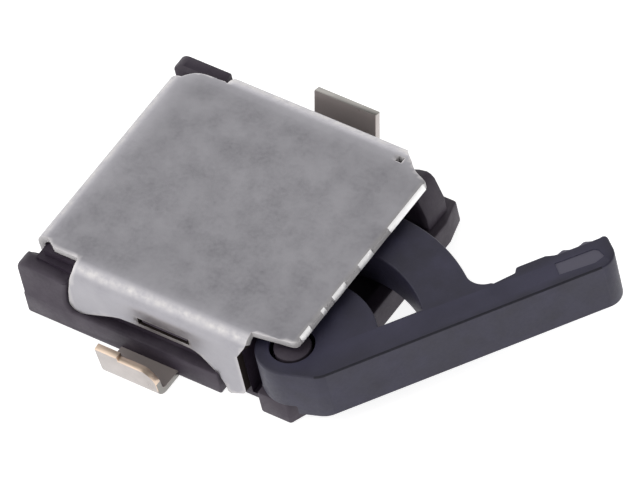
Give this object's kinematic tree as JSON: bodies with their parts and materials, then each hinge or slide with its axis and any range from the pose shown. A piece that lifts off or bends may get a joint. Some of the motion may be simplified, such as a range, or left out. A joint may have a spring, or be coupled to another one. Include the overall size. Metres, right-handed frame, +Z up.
{
  "type": "position detection switch",
  "caption": "Low-profile surface-mount detection switch whose side lever swings flush with the open side of its housing and wipes a spring contact over floor tracks.",
  "frame": {"origin": "centre of the base's footprint, on the board surface", "axes": "+X towards the open side that the lever swings out of, +Y towards the far terminal, +Z up from the board"},
  "size_m": [0.0067, 0.0046, 0.0012],
  "materials": {
    "base_resin": "matte moulded resin",
    "lever_resin": "satin moulded resin",
    "cover_steel": "matte nickel-plated sheet",
    "plated_terminal": "bright plated copper alloy",
    "spring_wire": "drawn spring wire",
    "contact_alloy": "rolled contact strip"
  },
  "bodies": {
    "housing": {"base": "base_resin", "common_terminal": "plated_terminal", "signal_terminal": "plated_terminal", "cover": "cover_steel", "return_spring": "spring_wire"},
    "lever": {"lever": "lever_resin", "moving_contact": "contact_alloy"}
  },
  "joints": [
    {"name": "lever_swing", "type": "hinge", "parent": "housing", "child": "lever", "pos_m": [0.00181, -0.00137, 0], "axis": [0, 0, 1], "range_deg": [0, 32], "stiffness_Nm_per_rad": 0.0015, "springref_deg": -11.46}
  ]
}
